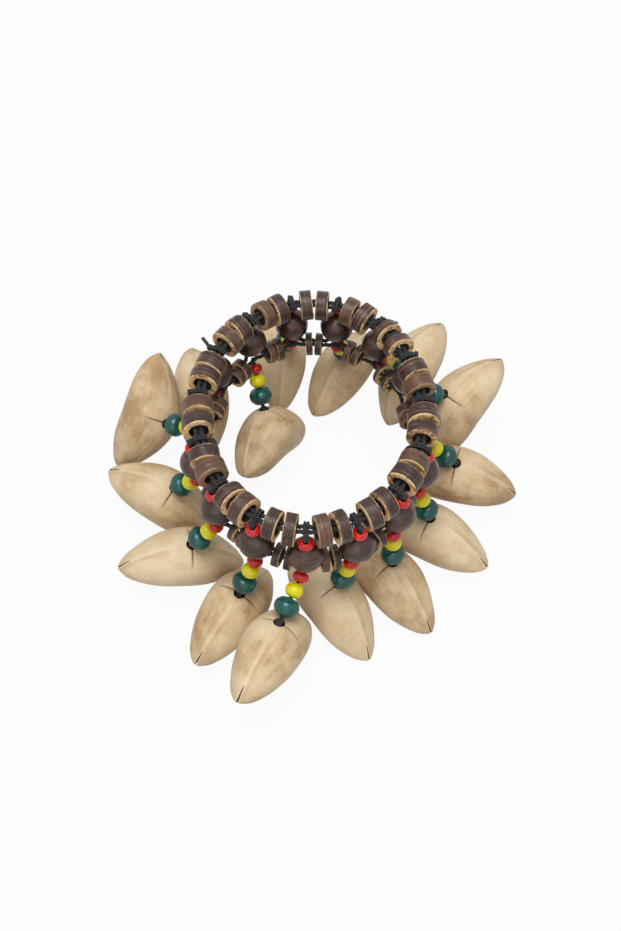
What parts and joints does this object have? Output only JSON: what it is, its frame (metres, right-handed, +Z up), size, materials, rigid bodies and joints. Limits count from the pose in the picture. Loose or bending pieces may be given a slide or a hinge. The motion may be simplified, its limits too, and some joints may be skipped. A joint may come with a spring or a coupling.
{
  "type": "nutshell shaker bracelet",
  "caption": "Elastic wrist band of dark shell rings and brown beads, with short bead strings hung all round that end in hollow nutshells and rattle when shaken.",
  "frame": {"origin": "on the table, under the middle of the wrist opening", "axes": "+Z up through the wrist opening, +Y to the back along the longest way across, -Y the front of the picture"},
  "size_m": [0.1204, 0.1398, 0.0544],
  "materials": {
    "nutshell": "pale satin shell with fine grain",
    "coconut_shell": "dark streaked skin, tan cut faces",
    "brown_wood": "dark satin",
    "red_bead": "glossy",
    "drop_bead": "glossy red, yellow and dark green",
    "black_cord": "matt twisted cord",
    "elastic_cord": "matt black"
  },
  "bodies": {
    "band": {"upper_elastic_inner": "elastic_cord", "upper_elastic_outer": "elastic_cord", "lower_elastic_inner": "elastic_cord", "lower_elastic_outer": "elastic_cord", "upper_shell_rings": "coconut_shell", "lower_shell_rings": "coconut_shell", "brown_beads": "brown_wood", "top_red_beads": "red_bead", "station_cords": "black_cord", "upper_tie_knot": "elastic_cord", "lower_tie_knot": "elastic_cord"},
    "string_01": {"drop_cord_01": "black_cord", "drop_beads_01": "drop_bead"},
    "nut_01": {"nutshell_01": "nutshell"},
    "string_02": {"drop_cord_02": "black_cord", "drop_beads_02": "drop_bead"},
    "nut_02": {"nutshell_02": "nutshell"},
    "string_03": {"drop_cord_03": "black_cord", "drop_beads_03": "drop_bead"},
    "nut_03": {"nutshell_03": "nutshell"},
    "string_04": {"drop_cord_04": "black_cord", "drop_beads_04": "drop_bead"},
    "nut_04": {"nutshell_04": "nutshell"},
    "string_05": {"drop_cord_05": "black_cord", "drop_beads_05": "drop_bead"},
    "nut_05": {"nutshell_05": "nutshell"},
    "string_06": {"drop_cord_06": "black_cord", "drop_beads_06": "drop_bead"},
    "nut_06": {"nutshell_06": "nutshell"},
    "string_07": {"drop_cord_07": "black_cord", "drop_beads_07": "drop_bead"},
    "nut_07": {"nutshell_07": "nutshell"},
    "string_08": {"drop_cord_08": "black_cord", "drop_beads_08": "drop_bead"},
    "nut_08": {"nutshell_08": "nutshell"},
    "string_09": {"drop_cord_09": "black_cord", "drop_beads_09": "drop_bead"},
    "nut_09": {"nutshell_09": "nutshell"},
    "string_10": {"drop_cord_10": "black_cord", "drop_beads_10": "drop_bead"},
    "nut_10": {"nutshell_10": "nutshell"},
    "string_11": {"drop_cord_11": "black_cord", "drop_beads_11": "drop_bead"},
    "nut_11": {"nutshell_11": "nutshell"},
    "string_12": {"drop_cord_12": "black_cord", "drop_beads_12": "drop_bead"},
    "nut_12": {"nutshell_12": "nutshell"},
    "string_13": {"drop_cord_13": "black_cord", "drop_beads_13": "drop_bead"},
    "nut_13": {"nutshell_13": "nutshell"},
    "string_14": {"drop_cord_14": "black_cord", "drop_beads_14": "drop_bead"},
    "nut_14": {"nutshell_14": "nutshell"},
    "string_15": {"drop_cord_15": "black_cord", "drop_beads_15": "drop_bead"},
    "nut_15": {"nutshell_15": "nutshell"}
  },
  "joints": [
    {"name": "swing_01", "type": "hinge", "parent": "band", "child": "string_01", "pos_m": [-0.00532, 0.03745, 0.03355], "axis": [0.9766, 0.2152, 0], "range_deg": [-4, 22]},
    {"name": "rock_01", "type": "hinge", "parent": "string_01", "child": "nut_01", "pos_m": [-0.00835, 0.04851, 0.02169], "axis": [-0.9817, -0.0875, 0.169], "range_deg": [-40, 10]},
    {"name": "swing_02", "type": "hinge", "parent": "band", "child": "string_02", "pos_m": [0.00742, 0.0369, 0.03355], "axis": [0.9547, -0.2975, 0], "range_deg": [-12, 32]},
    {"name": "rock_02", "type": "hinge", "parent": "string_02", "child": "nut_02", "pos_m": [0.01125, 0.04534, 0.01991], "axis": [-0.8449, 0.5275, 0.0889], "range_deg": [-40, 15]},
    {"name": "swing_03", "type": "hinge", "parent": "band", "child": "string_03", "pos_m": [0.01884, 0.02993, 0.03355], "axis": [0.7154, -0.6987, 0], "range_deg": [-24, 14]},
    {"name": "rock_03", "type": "hinge", "parent": "string_03", "child": "nut_03", "pos_m": [0.02793, 0.03924, 0.02339], "axis": [-0.7892, 0.5918, -0.1638], "range_deg": [-40, 20]},
    {"name": "swing_04", "type": "hinge", "parent": "band", "child": "string_04", "pos_m": [0.02698, 0.01781, 0.03355], "axis": [0.3914, -0.9202, 0], "range_deg": [-8, 6]},
    {"name": "rock_04", "type": "hinge", "parent": "string_04", "child": "nut_04", "pos_m": [0.03977, 0.02419, 0.02531], "axis": [-0.5639, 0.7799, -0.2716], "range_deg": [-40, 8]},
    {"name": "swing_05", "type": "hinge", "parent": "band", "child": "string_05", "pos_m": [0.03046, 0.00265, 0.03355], "axis": [0.0559, -0.9984, 0], "range_deg": [-14, 22]},
    {"name": "rock_05", "type": "hinge", "parent": "string_05", "child": "nut_05", "pos_m": [0.04194, 0.00185, 0.02173], "axis": [0.2735, 0.9404, 0.2021], "range_deg": [-40, 5]},
    {"name": "swing_06", "type": "hinge", "parent": "band", "child": "string_06", "pos_m": [0.0287, -0.01298, 0.03355], "axis": [-0.2796, -0.9601, 0], "range_deg": [-8, 45]},
    {"name": "rock_06", "type": "hinge", "parent": "string_06", "child": "nut_06", "pos_m": [0.03386, -0.01448, 0.01795], "axis": [0.519, 0.8501, 0.0897], "range_deg": [-40, 30]},
    {"name": "swing_07", "type": "hinge", "parent": "band", "child": "string_07", "pos_m": [0.022, -0.02638, 0.03355], "axis": [-0.6114, -0.7914, 0], "range_deg": [-4, 45]},
    {"name": "rock_07", "type": "hinge", "parent": "string_07", "child": "nut_07", "pos_m": [0.02266, -0.02834, 0.01718], "axis": [0.7878, 0.6146, -0.042], "range_deg": [-40, 38]},
    {"name": "swing_08", "type": "hinge", "parent": "band", "child": "string_08", "pos_m": [0.01148, -0.03525, 0.03355], "axis": [-0.8926, -0.4508, 0], "range_deg": [-6, 45]},
    {"name": "rock_08", "type": "hinge", "parent": "string_08", "child": "nut_08", "pos_m": [0.00766, -0.03529, 0.0175], "axis": [0.7925, 0.5794, -0.1902], "range_deg": [-38, 40]},
    {"name": "swing_09", "type": "hinge", "parent": "band", "child": "string_09", "pos_m": [-0.00107, -0.03801, 0.03355], "axis": [-0.999, 0.0436, 0], "range_deg": [-2, 4]},
    {"name": "rock_09", "type": "hinge", "parent": "string_09", "child": "nut_09", "pos_m": [-0.0081, -0.05113, 0.02642], "axis": [0.8806, -0.4739, 0.0041], "range_deg": [-40, 3]},
    {"name": "swing_10", "type": "hinge", "parent": "band", "child": "string_10", "pos_m": [-0.01343, -0.03416, 0.03355], "axis": [-0.8538, 0.5205, 0], "range_deg": [-14, 40]},
    {"name": "rock_10", "type": "hinge", "parent": "string_10", "child": "nut_10", "pos_m": [-0.01922, -0.0387, 0.01878], "axis": [0.8398, -0.5152, -0.1709], "range_deg": [-40, 26]},
    {"name": "swing_11", "type": "hinge", "parent": "band", "child": "string_11", "pos_m": [-0.02343, -0.0244, 0.03355], "axis": [-0.5574, 0.8303, 0], "range_deg": [-8, 36]},
    {"name": "rock_11", "type": "hinge", "parent": "string_11", "child": "nut_11", "pos_m": [-0.0329, -0.02429, 0.02004], "axis": [0.1785, -0.9749, -0.1332], "range_deg": [-40, 6]},
    {"name": "swing_12", "type": "hinge", "parent": "band", "child": "string_12", "pos_m": [-0.02936, -0.01046, 0.03355], "axis": [-0.2236, 0.9747, 0], "range_deg": [-32, 32]},
    {"name": "rock_12", "type": "hinge", "parent": "string_12", "child": "nut_12", "pos_m": [-0.03886, -0.00602, 0.02081], "axis": [-0.4101, -0.912, -0.0115], "range_deg": [-40, 8]},
    {"name": "swing_13", "type": "hinge", "parent": "band", "child": "string_13", "pos_m": [-0.03024, 0.00528, 0.03355], "axis": [0.1117, 0.9937, 0], "range_deg": [-10, 8]},
    {"name": "rock_13", "type": "hinge", "parent": "string_13", "child": "nut_13", "pos_m": [-0.04219, 0.01338, 0.02557], "axis": [-0.6549, -0.2707, 0.7056], "range_deg": [-35, 4]},
    {"name": "swing_14", "type": "hinge", "parent": "band", "child": "string_14", "pos_m": [-0.02592, 0.02011, 0.03355], "axis": [0.4471, 0.8945, 0], "range_deg": [-10, 10]},
    {"name": "rock_14", "type": "hinge", "parent": "string_14", "child": "nut_14", "pos_m": [-0.03135, 0.02914, 0.02085], "axis": [-0.9431, -0.2315, 0.2388], "range_deg": [-40, 30]},
    {"name": "swing_15", "type": "hinge", "parent": "band", "child": "string_15", "pos_m": [-0.01712, 0.0315, 0.03355], "axis": [0.7645, 0.6446, 0], "range_deg": [-12, 4]},
    {"name": "rock_15", "type": "hinge", "parent": "string_15", "child": "nut_15", "pos_m": [-0.01408, 0.02257, 0.02002], "axis": [-0.8786, 0.2833, -0.3845], "range_deg": [-10, 40]}
  ]
}
